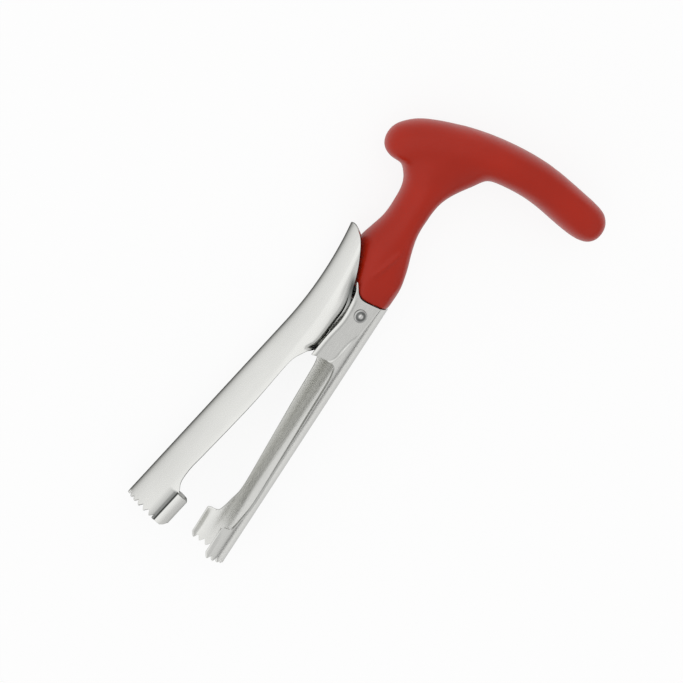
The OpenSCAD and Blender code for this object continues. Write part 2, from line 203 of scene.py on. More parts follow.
class CorerFinish(bpy.types.PropertyGroup):
    """Colours and gloss of the corer's materials"""

    steel: a_colour("Steel", "Satin sheet steel", (0.735, 0.735, 0.71))
    steel_rough: a_roughness("Steel roughness", "Satin of the sheet", 0.24)
    rivet: a_colour("Rivet", "Polished rivet steel", (0.72, 0.715, 0.70))
    red: a_colour("Grip", "Red moulding", (0.375, 0.0135, 0.002))
    red_rough: a_roughness("Grip roughness", "Satin of the grip", 0.36)
    dark: a_colour("Inner plastic", "Washers, bush and core", (0.05, 0.05, 0.055))
    wire: a_colour("Wire", "Spring wire", (0.50, 0.50, 0.49))


class CorerView(bpy.types.PropertyGroup):
    """Where the photograph's camera stands"""

    turn: an_angle("Turn", "Turn towards the opening blade", 20.5)
    lift: an_angle("Lift", "Lift towards the handle", 6)
    lean: an_angle("Lean", "Tube's slope in the picture", 56.87)
    distance: a_length("Distance", "Camera to the rivet", 1.2)
    scale: a_pixel_count("Scale", "Pixels for a metre at the rivet", 2870.0)
    rivet_x: a_pixel_count("Rivet across", "Rivet's place in the picture, in pixels", 361.0)
    rivet_y: a_pixel_count("Rivet down", "Rivet's place in the picture, in pixels", 317.0)
    frame_px: a_pixel_count("Frame", "Side of the square picture, in pixels", 683.0)


# The tool's own frame: X from the tube's axis to its back, Y up the tube, Z across, in mm.
# A pair that is given to rising() is the height where a soft change starts, and its reach.
class Form:
    """The corer's sizes in mm, with its side curves and its two sheet surfaces."""

    # The opening blade's forward sweep, and the rise of its sides towards the cheeks.
    sweep, sweep_from = 142.0, -20.0
    slope, neck_slope, slope_change = 0.10, 0.02, (-3.0, 8.0)
    # Edges in front of the axis, at the ring, the slot and the slot's dip, and those behind it.
    lip, slot, dip = 3.0, 4.7, 1.3
    ring_edge, flange_edge = 1.5, 2.1
    # Raised border and turned rim of the cheeks.
    press, press_width = 0.28, 0.85
    rim, rim_width, rim_end = 0.15, 0.95, (2.0, 4.0)
    # Step in to the ears, and roundings into the flat cheeks and sides.
    ear_step, cheek_round, side_round = 1.45, 0.22, 1.6
    # Half a notch as a share of the teeth's pitch, and columns of points to a tooth.
    notch_half, tooth_columns = 0.46, 8
    # The windows' top, the back strip's start above the ring, and the cheek's tip at the seam.
    window_top, strip_gap, seam_end = -19.3, 0.3, (-6.9, 13.2)

    def __init__(self, sizes):
        self.r = sizes.tube / MM / 2
        self.t = sizes.sheet / MM
        self.foot = -sizes.blade / MM
        self.land = self.foot + sizes.ring / MM
        self.strip_foot = self.land + self.strip_gap
        self.tooth = sizes.tooth / MM
        self.pitch = math.tau / sizes.teeth
        self.pivot = sizes.pivot / MM
        self.opened = sizes.opened
        self.clear = sizes.clearance / MM
        self.cheek = sizes.cheek / MM
        self.taper = math.tan(sizes.taper)
        self.bend = sizes.bend / MM
        self.ear_out = self.cheek - self.t - self.clear - self.ear_step
        self.flange_step = self.t + self.clear
        self.fixed_curves()
        self.opening_curve()

    def fixed_curves(self):
        """Side curves of the fixed blade, as places along X and heights."""
        land, top = self.land, self.window_top
        self.seam = through_points(
            [(13.5, 6.7), (9.0, 5.9), (3.375, 5.2), (-0.4, 5.1)]
            + [(-2.6, 6.3), (-4.3, 8.5), (-5.9, 11.2), self.seam_end],
            steps=5,
        )
        self.cheek_front = through_points(
            [self.seam_end, (-5.3, 9.0), (-3.7, 5.5), (-3.0, -3.5), (-4.6, -12.0), (-5.8, top - 0.9)],
            steps=6,
        )
        self.window = through_points(
            [(2.6, top), (4.1, top - 0.9), (5.0, top - 3.0), (5.65, top - 7.0), (6.2, top - 20)]
            + [(7.22, 0.65 * land - 2), (7.9, land + 13), (7.13, land + 7), (5.9, land + 1.6)]
            + [(4.7, land + 0.25), (2.7, land)],
            steps=6,
        )
        self.press_line = through_points(
            [(-3.0, top - 0.9), (0.2, top - 0.1), (1.6, -18.4), (2.66, -16.9), (3.2, -13.6)]
            + [(3.9, -10.5), (5.0, -7.5), (6.6, -4.5), (8.8, -1.5)],
            steps=4,
        )

    def opening_curve(self):
        """The opening blade's edge from the ring along the slot to the tab's tip."""
        lip, slot, dip, land, top = self.lip, self.slot, self.dip, self.land, self.window_top
        tab_foot = (-lip - 0.7, top - 2.2)
        slot_line = through_points(
            [(-lip, land), (-lip - 0.9, land + 1.4), (-slot - 0.5 * dip, land + 4)]
            + [(-slot - dip, land + 9.5), (-slot - 0.85 * dip, land + 17), (-slot - 0.7, 0.55 * land)]
            + [(-slot - 1.05, top - 12), (-slot - 0.85, top - 7.5), (-slot - 0.1, top - 4.9), tab_foot],
            steps=6,
        )
        tab_line = through_points(
            [tab_foot, (-lip - 0.1, 0.8 * top), (-lip - 0.9, -7), (-lip - 1.7, 1), (-lip - 4.1, 7.2)]
            + [(-lip - 8.1, 13.8), (-lip - 13.6, 20.3), (-lip - 19, 23.5)],
            steps=8,
        )
        self.front_edge = [(-lip, self.foot), *slot_line, *tab_line[1:]]

    def row(self, x, y, z):
        """A point of the tool as a point of the row's frame, in metres."""
        return Vector((x - self.pivot, y, z)) * MM + PIVOT

    def swung(self, x, y, z):
        """A point of the opening blade from its closed place to the rest pose."""
        c, s = math.cos(self.opened), math.sin(self.opened)
        dx = x - self.pivot
        return self.row(self.pivot + dx * c + y * s, y * c - dx * s, z)

    def notch(self, x, z):
        """How far the foot is cut up at an angle round the tube."""
        share = (math.atan2(x, z) / self.pitch) % 1.0
        return self.tooth * max(0.0, 1 - abs(share - 0.5) / self.notch_half)

    def corner(self, side):
        """Length round to where the tube turns flat, and that place's distance from the axis."""
        turn = math.asin(min(side, self.r) / self.r)
        return self.r * turn, self.r * math.cos(turn)

    # The fixed blade: round at the back, flat at the cheeks.
    def cheek_at(self, y):
        return self.cheek - y * self.taper

    def fixed_corner(self, y):
        return self.corner(self.cheek_at(y))

    def fixed_point(self, along, y):
        """The outer face at a length round from the spine, on the near side."""
        length, corner = self.fixed_corner(y)
        x = self.r * math.cos(along / self.r) if along <= length else corner - (along - length)
        circle = math.sqrt(max(self.r**2 - x * x, 0.0)) if x > 0 else self.r
        border = self.press * ease(self.press_share(x, y))
        rim = self.rim * ease(self.rim_share(x, y)) * self.beside(y)
        return x, y, soft_min(circle, self.cheek_at(y) + (border - rim), self.cheek_round)

    def press_share(self, x, y):
        """How far across the raised border at the cheek's lower end a place lies."""
        return (x - read_line(self.press_line, y)) / self.press_width

    def rim_share(self, x, y):
        """How far across the turned rim at the cheek's front a place lies."""
        return (read_line(self.cheek_front, y) + self.rim_width - x) / self.rim_width

    def beside(self, y):
        """The turned rim runs out beside the neck."""
        return 1 - rising(y, *self.rim_end)

    def fixed_length(self, x, y):
        length, corner = self.fixed_corner(y)
        return self.r * math.acos(clamp(x / self.r, -1, 1)) if x >= corner else length + corner - x

    # The opening blade: a half tube, swept forward above sweep_from, its sides inside the cheeks.
    def side_at(self, y):
        return self.cheek_at(y) - self.t - self.clear

    def slope_at(self, y):
        """The sides rise a little towards the cheeks, and run flatter beside the neck."""
        return mix(self.slope, self.neck_slope, rising(y, *self.slope_change))

    def opening_corner(self, y):
        length, depth = self.corner(self.side_at(y))
        return length, -depth

    def opening_point(self, along, y, drop=0.0):
        """The outer face at a length round from the front, on the near side, moved in by drop."""
        length, corner = self.opening_corner(y)
        deep = -self.r * math.cos(along / self.r) if along <= length else corner + (along - length)
        circle = math.sqrt(max(self.r**2 - deep * deep, 0.0))
        side = self.side_at(y) + self.slope_at(y) * max(deep - corner, 0.0)
        wide = soft_min(circle, side, self.side_round)
        if drop and circle < self.side_at(y):
            turn = along / self.r
            deep, wide = -(self.r - drop) * math.cos(turn), (self.r - drop) * math.sin(turn)
        else:
            wide -= drop
        rise = max(y - self.sweep_from, 0.0)
        return math.sqrt((self.sweep + deep) ** 2 - rise * rise) - self.sweep, wide

    def opening_length(self, x, y):
        rise = max(y - self.sweep_from, 0.0)
        deep = math.hypot(x + self.sweep, rise) - self.sweep
        length, corner = self.opening_corner(y)
        return self.r * math.acos(clamp(-deep / self.r, -1, 1)) if deep <= corner else length + deep - corner


# Mesh helpers.
def add_grid(bm, rows, marks):
    """A grid whose points are moved on to rows of outer points, with how dark the painted shade is at each
    one.
    """
    layer = bm.verts.layers.float.get(MARKS) or bm.verts.layers.float.new(MARKS)
    high, wide = len(rows) - 1, len(rows[0]) - 1
    half = 0.5
    for v in bmesh.ops.create_grid(bm, x_segments=wide, y_segments=high, size=half)["verts"]:
        up, over = round((v.co.y + half) * high), round((v.co.x + half) * wide)
        v.co = rows[up][over]
        v[layer] = marks[up][over]


def add_object(name, data):
    added = bpy.data.objects.new(name, data)
    bpy.context.scene.collection.objects.link(added)
    return added


def add_mesh(name, bm, material):
    mesh = bpy.data.meshes.new(name)
    bm.to_mesh(mesh)
    bm.free()
    mesh.materials.append(material)
    return add_object(name, mesh)


def add_circle(bm, radius, segments):
    """The points and the edges of a ring."""
    verts = bmesh.ops.create_circle(bm, cap_ends=False, radius=radius, segments=segments)["verts"]
    return verts, {e for v in verts for e in v.link_edges}


def finish_mesh(name, bm, material, body, replaced=(), smooth=True):
    """A piece with its finish, its body and the nodes that it replaces."""
    piece = add_mesh(name, bm, material)
    for face in piece.data.polygons:
        face.use_smooth = smooth
    if body:
        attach(piece, body)
    if replaced:
        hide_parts(*replaced)
    return piece


def round_edges(piece, width, sharp):
    rounding = piece.modifiers.new("Cut edges", "BEVEL")
    rounding.width = width
    rounding.segments = EDGE_SEGMENTS
    rounding.limit_method = "ANGLE"
    rounding.angle_limit = sharp
    return rounding


def thicken(piece, thickness, edge):
    """Sheet thickness, grown inwards, with its cut edges rounded."""
    wall = piece.modifiers.new("Sheet", "SOLIDIFY")
    wall.thickness = thickness
    wall.offset = -1
    rounding = round_edges(piece, edge, SHEET_SHARP)
    rounding.offset_type = "ABSOLUTE"
    rounding.use_clamp_overlap = False
    level = piece.modifiers.new("Flat faces", "WEIGHTED_NORMAL")
    level.keep_sharp = True


def face_out(bm, axis):
    """Turns an open sheet so that its faces look away from an axis along Y."""
    bm.normal_update()
    bm.faces.ensure_lookup_table()
    face = bm.faces[len(bm.faces) // 2]
    away = face.calc_center_median() - axis
    if face.normal.dot(Vector((away.x, 0, away.z))) < 0:
        bmesh.ops.reverse_faces(bm, faces=bm.faces[:])


# Finishes.
def add_node(tree, kind, values=None, links=None, **settings):
    """A shader node with its settings, the values of its inputs and the outputs that feed it."""
    node = tree.nodes.new("ShaderNode" + kind)
    for name, setting in settings.items():
        setattr(node, name, setting)
    for key, value in (values or {}).items():
        node.inputs[key].default_value = value
    for key, source in (links or {}).items():
        tree.links.new(source, node.inputs[key])
    return node


def finish(name):
    material = bpy.data.materials.get(name) or bpy.data.materials.new(name)
    material.use_nodes = True
    tree = material.node_tree
    tree.nodes.clear()
    shader = add_node(tree, "BsdfPrincipled")
    add_node(tree, "OutputMaterial", links={"Surface": shader.outputs["BSDF"]})
    return material, tree, shader


def speckle(tree, scale, detail, stretch=(1, 1, 1), turn=0.0):
    """Noise on Object coordinates, drawn out along one way."""
    place = add_node(tree, "TexCoord").outputs["Object"]
    turned = add_node(tree, "Mapping", {"Rotation": (0, 0, turn), "Scale": stretch}, {"Vector": place})
    vector = turned.outputs["Vector"]
    return add_node(tree, "TexNoise", {"Scale": scale, "Detail": detail}, {"Vector": vector}).outputs["Fac"]


def ramp(tree, source, low, high, start=0.3, end=0.7, **settings):
    """A value that goes from low to high while its source goes from start to end."""
    values = {"From Min": start, "From Max": end, "To Min": low, "To Max": high}
    return add_node(tree, "MapRange", values, {"Value": source}, **settings).outputs["Result"]


def cloudy(tree, source, colour, darkest, lightest):
    """A colour that wanders between a darker and a lighter share of itself."""
    low, high = ([min(c * share, 1) for c in colour] for share in (darkest, lightest))
    values = {COLOUR_A: (*low, 1), COLOUR_B: (*high, 1)}
    links = {SHARE: ramp(tree, source, 0, 1)}
    return add_node(tree, "Mix", values, links, data_type="RGBA").outputs[COLOUR_OUT]


def vary(tree, shader, source, rough, less, more):
    """Roughness that wanders a little about its own value."""
    tree.links.new(ramp(tree, source, rough - less, rough + more), shader.inputs["Roughness"])


def relief(tree, shader, source, strength, depth):
    bump = add_node(tree, "Bump", {"Strength": strength, "Distance": depth}, {"Height": source})
    tree.links.new(bump.outputs["Normal"], shader.inputs["Normal"])


def darken(tree, colour):
    """Painted shade: the colour goes dark with the piece's own attribute, in the blades' bends, along cut
    edges and creases, and in the rivet's dark ring of painted reflection.
    """
    mark = add_node(tree, "Attribute", attribute_name=MARKS).outputs["Fac"]
    links = {SHARE: mark, COLOUR_A: colour}
    settings = {"data_type": "RGBA", "blend_type": "MULTIPLY"}
    return add_node(tree, "Mix", {COLOUR_B: MARK_SHADE}, links, **settings).outputs[COLOUR_OUT]


def satin_steel(name, colour, rough, turn, edge_shade):
    """Rolled sheet with fine lines along the blade, darker where it is seen edge on."""
    material, tree, shader = finish(name)
    shader.inputs["Metallic"].default_value = 1.0
    shader.inputs["Specular Tint"].default_value = (edge_shade, edge_shade, edge_shade, 1)
    lines = speckle(tree, scale=38, detail=3, stretch=(90, 2.2, 90), turn=turn)
    clouds = speckle(tree, scale=60, detail=3, stretch=(1, 0.5, 1), turn=turn)
    shades = cloudy(tree, clouds, colour, darkest=0.955, lightest=1.03)
    # Painted shade darkens the colour in the bends, along cut edges and on the cheeks' lines.
    tree.links.new(darken(tree, shades), shader.inputs["Base Color"])
    vary(tree, shader, lines, rough, less=0.045, more=0.055)
    relief(tree, shader, lines, strength=0.05, depth=0.02 * MM)
    return material


def polished_steel(name, colour, rough):
    material, tree, shader = finish(name)
    shader.inputs["Metallic"].default_value = 1.0
    clouds = speckle(tree, scale=900, detail=3)
    shades = cloudy(tree, clouds, colour, darkest=0.95, lightest=1.0)
    # Painted shade from the piece's attribute, which only the rivet has: a dark ring of painted reflection
    # round its dome and painted shade at its rim.
    tree.links.new(darken(tree, shades), shader.inputs["Base Color"])
    vary(tree, shader, clouds, rough, less=0.03, more=0.04)
    return material


def satin_plastic(name, colour, rough, grain):
    """Moulded plastic with a fine even texture."""
    material, tree, shader = finish(name)
    shader.inputs["Specular IOR Level"].default_value = 0.28
    clouds = speckle(tree, scale=45, detail=3)
    fine = speckle(tree, scale=grain, detail=2)
    shades = cloudy(tree, clouds, colour, darkest=0.92, lightest=1.06)
    tree.links.new(shades, shader.inputs["Base Color"])
    vary(tree, shader, fine, rough, less=0.05, more=0.06)
    relief(tree, shader, fine, strength=0.10, depth=0.03 * MM)
    return material


# The pieces.
class CORER_OT_fixed_blade(bpy.types.Operator):
    """Builds the fixed blade: toothed ring half, back strip and cheeks in one sheet"""

    bl_idname = "corer.fixed_blade"
    bl_label = "Fixed blade"

    # Columns of half the back strip, and of the ring and the cheek in front of it.
    back, front, cheek = 40, 10, 22
    # Rows of the cheeks and of the ring, and the parts near the strip's ends with closer rows.
    cheek_rows = 44
    ring_rows = (0, 0.07, 0.14, 0.2, 0.28, 0.37, 0.46, 0.55, 0.64, 0.73, 0.82, 0.88, 0.94, 1.0)
    foot_part, top_part, row_gap = 5.5, 4.5, 0.5
    # Teeth under half the strip, the ring's front tucked in below, and the top of the cheek's sliver.
    strip_teeth, tuck, tuck_width, sliver_top = 5, 0.45, 1.9, 9.6
    # Painted shade: how dark along the strip's cut edge and on the cheek's lines, where across a bend a line
    # lies, half its width and where it sets in.
    strip_mark, cheek_mark = 0.4, 0.36
    line_at, line_half, flat_reach = -0.45, 0.5, 0.8

    def execute(self, context):
        sizes, looks = context.scene.corer_sizes, context.scene.corer_finish
        form = Form(sizes)
        bm = bmesh.new()
        ring, strip, cheeks = self.ring(form), self.strip(form), self.cheeks(form)
        # Painted shade: none on the ring, a dark line along the strip's edge at the windows, and thin dark
        # lines on the cheeks.
        bare = [[0.0] * len(half) for half in ring]
        cut = [[0.0] * self.back + [self.strip_mark] for half in strip]
        creased = [[self.mark(form, x, y) for x, y, _ in half] for half in cheeks]
        for rows, marks in ((ring, bare), (strip, cut), (cheeks, creased)):
            self.add_both_sides(form, bm, rows, marks)
        bmesh.ops.remove_doubles(bm, verts=bm.verts[:], dist=WELD)
        bmesh.ops.recalc_face_normals(bm, faces=bm.faces[:])
        face_out(bm, form.row(0, 0, 0))
        steel = satin_steel("satin_steel_fixed", looks.steel, looks.steel_rough, turn=0.0, edge_shade=0.70)
        piece = finish_mesh("fixed_blade_sheet", bm, steel, FIXED, ["rear_blade"])
        thicken(piece, sizes.sheet, sizes.edge)
        return {"FINISHED"}

    def add_both_sides(self, form, bm, rows, marks):
        """Adds rows that run from the spine to the near edge, with their mirror image."""
        points = []
        for half in rows:
            near = [form.row(x, y, z) for x, y, z in half]
            far = [form.row(x, y, -z) for x, y, z in half]
            points.append(near[::-1] + far[1:])
        add_grid(bm, points, [half[::-1] + half[1:] for half in marks])

    def mark(self, form, x, y):
        """Painted shade: thin dark lines where the cheek's raised border and its turned rim begin."""
        flat = ease((form.fixed_corner(y)[1] - x) / self.flat_reach)
        border = self.thin_line(form.press_share(x, y))
        rim = self.thin_line(form.rim_share(x, y)) * form.beside(y)
        return self.cheek_mark * flat * max(border, rim)

    def thin_line(self, share):
        return max(0.0, 1 - abs(share - self.line_at) / self.line_half)

    def ring(self, form):
        """The toothed ring: its foot follows the teeth, its top the window's lower edge."""
        low, land, edge = form.strip_foot, form.land, form.ring_edge
        split = math.acos(read_line(form.window, low) / form.r)
        last = math.acos(edge / form.r)
        teeth_split = self.strip_teeth * form.pitch
        top_line = [(edge, land - 0.8), (edge + 0.3, land - 0.3), (edge + 1.2, land)]
        top_line += [(edge + 2.6, land + 0.12), (form.r * math.cos(split), low)]
        columns = [(teeth_split * k / self.back, split * k / self.back) for k in range(self.back + 1)]
        for k in range(1, self.front + 1):
            at_foot = min(teeth_split + k * form.pitch / form.tooth_columns, last) if k < self.front else last
            columns.append((at_foot, mix(split, last, k / self.front)))
        rows = []
        for t in self.ring_rows:
            half = []
            for at_foot, at_top in columns:
                turn = mix(at_foot, at_top, ease(t))
                x, z = form.r * math.cos(turn), form.r * math.sin(turn)
                top = low
                if at_top > split + TINY:
                    top = read_line(top_line, form.r * math.cos(at_top), key=0, value=1)
                y = mix(form.foot + form.notch(x, z) * (1 - t) ** 3, top, t)
                inward = self.tuck * clamp((edge + self.tuck_width - x) / self.tuck_width) * (1 - t * t)
                shrink = 1 - inward / form.r
                half.append((x * shrink, y, z * shrink))
            rows.append(half)
        return rows

    def strip(self, form):
        """The back strip between the two windows, from the ring to the cheeks."""
        low, top = form.strip_foot, form.window_top
        foot_end, top_start = low + self.foot_part, top - self.top_part
        foot_rows = spaced(low, foot_end, steps=11)
        long_rows = spaced(foot_end + self.row_gap, top_start - self.row_gap, steps=70)
        top_rows = spaced(top_start, top, steps=10)
        rows = []
        for y in foot_rows + long_rows + top_rows:
            length = form.fixed_length(read_line(form.window, y), y)
            rows.append([form.fixed_point(along, y) for along in spaced(0.0, length, steps=self.back)])
        return rows

    def cheeks(self, form):
        """The cheeks and the back between them, from the windows to the handle's seam."""
        split, bottom = form.window[0]
        foot = form.cheek_front[-1][1]

        def place(k, y):
            back = form.fixed_length(split, y)
            if k <= self.back:
                return form.fixed_point(back * k / self.back, y)
            front = form.fixed_length(read_line(form.cheek_front, y), y)
            return form.fixed_point(mix(back, front, (k - self.back) / self.cheek), y)

        def below_seam(k, y):
            return y < read_line(form.seam, place(k, y)[0], key=0, value=1)

        columns = []
        for k in range(self.back + self.cheek + 1):
            start = mix(bottom, foot, (max(k - self.back, 0) / self.cheek) ** 3)
            seam = halve(lambda y: below_seam(k, y), 0.0, form.seam_end[1])
            columns.append((k, start, min(seam, self.sliver_top)))
        rows = []
        for t in spaced(0.0, 1.0, steps=self.cheek_rows):
            rows.append([place(k, mix(start, end, t)) for k, start, end in columns])
        return rows


class CORER_OT_opening_blade(bpy.types.Operator):
    """Builds the opening blade: toothed ring half, stepped flange, slotted half tube, ears and finger tab"""

    bl_idname = "corer.opening_blade"
    bl_label = "Opening blade"

    # Heights of the rows: at the foot as shares of a reach, about the land, then up to the tab's tip.
    foot_rows, foot_reach = (0, 0.075, 0.15, 0.22, 0.3, 0.4, 0.52, 0.65, 0.78, 0.9), 12
    land_low, land_high, slot_from = -1.0, 1.6, 2.2
    slot_end, hinge_from, tab_from = -27.0, -26.4, 12.0
    tab_turn, tab_tip, tab_count = 20.3, 22.25, 26
    # Soft changes up the blade, the ring's counted from its land.
    ring_end, ears_begin, ears_end, marks_end = (-0.5, 0.9), (-21.8, 4.8), (-5.0, 11.0), (6.0, 5.0)
    # The turned edge: where its bend begins before the cut, the bend, and the leg beyond it.
    plain_inset, ring_inset, ear_inset = 2.6, 2.9, 1.3
    plain_bend, full_bend, bend_steps = 1.6, math.radians(72), 8
    plain_leg, ring_leg, ear_leg = 1.0, 4.35, 1.1
    leg_shares = (0.06, 0.3, 0.54, 0.77, 1.0)
    # How near the bend a tooth's column may come, where the teeth fade out, and the flange's corner.
    last_column, teeth_reach, teeth_gap, teeth_fade = 0.6, 6.0, 0.6, 0.5
    slant_width, slant_height, slant_power = 2.4, 3.2, 1.5
    # Painted shade: how dark in the ears' bend, in the ring's bend, on the cut edge and leading into the
    # ring's bend, and the powers by which it grows towards its dark side.
    hinge_mark, ring_mark, edge_mark, lead_mark = 0.85, 0.32, 0.45, 0.3
    hinge_power, ring_power, lead_power, lead_columns = 0.8, 1.3, 1.5, 5
    # The ears: eye, hole and the web's outline about the pivot, then shares of the sheet's sizes.
    eye, hole, eye_segments = 3.7, 2.06, 48
    web = ((-6.3, -15.6), (-4.6, -16.4), (3.1, -2.0), (0.6, -3.0))
    web += ((-2.7, -1.4), (-2.7, 1.4), (-1.26, 3.45), (-7.4, 1.0))
    ear_gap, ear_thick, ear_edge = 0.02, 0.97, 0.7

    def execute(self, context):
        sizes, looks = context.scene.corer_sizes, context.scene.corer_finish
        form = Form(sizes)
        bm = bmesh.new()
        heights = self.heights(form)
        rows = [self.line(form, y) for y in heights] + self.tab_rows(form)
        marks = [self.marks(form, y) for y in heights]
        marks += [[0.0] * len(rows[0])] * self.tab_count
        add_grid(bm, [[form.swung(*p) for p in line] for line in rows], marks)
        face_out(bm, form.swung(0, form.foot / 2, 0))
        steel = satin_steel(
            "satin_steel_opening", looks.steel, looks.steel_rough, turn=-sizes.opened, edge_shade=0.02
        )
        piece = finish_mesh("opening_blade_sheet", bm, steel, OPENING, ["front_blade"])
        thicken(piece, sizes.sheet, sizes.edge)
        for side, name in ((1, "near"), (-1, "far")):
            self.ear(form, sizes, steel, side, name)
        return {"FINISHED"}

    def heights(self, form):
        """Heights of the level rows, closer together where the outline turns."""
        foot_rows = [form.foot + self.foot_reach * share for share in self.foot_rows]
        land_rows = spaced(form.land + self.land_low, form.land + self.land_high, steps=13)
        slot_rows = spaced(form.land + self.slot_from, self.slot_end, steps=60)
        hinge_rows = spaced(self.hinge_from, self.tab_from, steps=64)
        return foot_rows + land_rows + slot_rows + hinge_rows

    def zones(self, form, y):
        """How much a height belongs to the ring and to the ears."""
        ring = 1 - rising(y - form.land, *self.ring_end)
        ears = rising(y, *self.ears_begin) * (1 - rising(y, *self.ears_end))
        return ring, ears

    def shares(self, form):
        """Places across the round part that meet every tooth."""
        reach = form.opening_length(-form.lip - self.ring_inset, form.foot) / form.r
        step = form.pitch / form.tooth_columns
        angles = [k * step - math.pi / 2 for k in range(round(math.tau / step))]
        return [-1.0] + [a / reach for a in angles if abs(a) < reach - self.last_column * step] + [1.0]

    def lengths(self, form, y):
        """Lengths round from the front, and the inward drop at each, on both sides."""
        ring, ears = self.zones(form, y)
        plain = 1 - max(ring, ears)
        whole = form.opening_length(read_line(form.front_edge, y), y)
        length = whole - plain * self.plain_inset - ring * self.ring_inset - ears * self.ear_inset
        side = form.side_at(y) + form.slope_at(y) * max(length - form.opening_corner(y)[0], 0.0)
        depth = ring * form.flange_step + ears * max(side - form.ear_out, 0.0)
        width = mix(self.plain_bend, form.bend, max(ring, ears))
        leg = self.plain_leg + ring * self.ring_leg + ears * self.ear_leg
        across, down = math.sin(self.full_bend), 1 - math.cos(self.full_bend)
        bends = []
        for share in parts(self.bend_steps):
            turn = self.full_bend * share
            bends.append((length + width * math.sin(turn) / across, depth * (1 - math.cos(turn)) / down))
        bends += [(length + width + leg * share, depth) for share in self.leg_shares]
        flat = [(length * share, 0.0) for share in self.shares(form)]
        return [(-along, drop) for along, drop in bends[::-1]] + flat + bends

    def marks(self, form, y):
        """How dark the painted shade is along a level row: in the bends, on the cut edge and leading into the
        ring's bend.
        """
        ring, ears = self.zones(form, y)
        hinge = self.hinge_mark * rising(y, *self.ears_begin) * (1 - rising(y, *self.marks_end))
        bend = []
        for share in parts(self.bend_steps):
            at_ring = ring * mix(self.ring_mark, 1.0, share**self.ring_power)
            bend.append(at_ring + hinge * share**self.hinge_power)
        edge = hinge * (1 - ears)
        leg = [edge] * (len(self.leg_shares) - 1) + [max(edge, self.edge_mark * (1 - ears))]
        lead = [ring * self.lead_mark * share**self.lead_power for share in parts(self.lead_columns)]
        flat = lead[::-1] + [0.0] * (len(self.shares(form)) - 2 * len(lead)) + lead
        return (bend + leg)[::-1] + flat + bend + leg

    def line(self, form, y):
        """One level row, from the far edge round the front to the near edge."""
        row = []
        fade = (1 - clamp((y - form.foot) / self.teeth_reach)) ** 3
        for along, drop in self.lengths(form, y):
            x, z = form.opening_point(abs(along), y, drop)
            lift = (self.slant(form, x) + self.teeth(form, x, z)) * fade
            row.append((x, y + lift, math.copysign(z, along)))
        return row

    def teeth(self, form, x, z):
        """Notches of the round part, which end before the flange."""
        return form.notch(x, z) * ease((-form.lip - self.teeth_gap - x) / self.teeth_fade)

    def slant(self, form, x):
        """The flange's lower corner, cut away towards its free edge."""
        out = clamp((x - form.flange_edge + self.slant_width) / self.slant_width)
        return self.slant_height * out**self.slant_power

    def tab_rows(self, form):
        """Bowed rows that turn the sides into the finger tab's round end."""

        def half_width(y):
            return form.opening_length(read_line(form.front_edge, y), y)

        def end_height(share):
            end = half_width(self.tab_turn)
            return halve(lambda y: half_width(y) > share * end, self.tab_turn, self.tab_tip)

        whole = half_width(self.tab_from)
        shares = [along / whole for along, _ in self.lengths(form, self.tab_from)]
        even = spaced(-1.0, 1.0, steps=len(shares) - 1)
        tops = [end_height(abs(share)) for share in even]
        rows = []
        for t in parts(self.tab_count):
            width = half_width(mix(self.tab_from, self.tab_turn, t))
            row = []
            for first, last, top in zip(shares, even, tops):
                share = mix(first, last, ease(t))
                y = mix(self.tab_from, top, t)
                x, z = form.opening_point(abs(share) * width, y)
                row.append((x, y, math.copysign(z, share)))
            rows.append(row)
        return rows

    def ear(self, form, sizes, steel, side, name):
        """A flat plate from the stepped edge to an eye round the rivet."""
        bm = bmesh.new()
        loops = [add_circle(bm, radius, self.eye_segments)[1] for radius in (self.eye, self.hole)]
        bmesh.ops.bridge_loops(bm, edges=list(set.union(*loops)))
        rim, edges = add_circle(bm, 1, len(self.web))
        bmesh.ops.edgeloop_fill(bm, edges=list(edges))
        for v, (x, y) in zip(rim, self.web):
            v.co = (x, y, 0)
        plate = bmesh.ops.extrude_face_region(bm, geom=bm.faces[:])["geom"]
        inner = [item for item in plate if isinstance(item, bmesh.types.BMVert)]
        bmesh.ops.translate(bm, vec=(0, 0, -form.t), verts=inner)
        for v in bm.verts:
            out = form.ear_out - self.ear_gap + v.co.z * self.ear_thick
            v.co = form.swung(v.co.x + form.pivot, v.co.y, side * out)
        bmesh.ops.recalc_face_normals(bm, faces=bm.faces[:])
        piece = finish_mesh("ear_" + name, bm, steel, OPENING, smooth=False)
        round_edges(piece, sizes.edge * self.ear_edge, PLATE_SHARP)


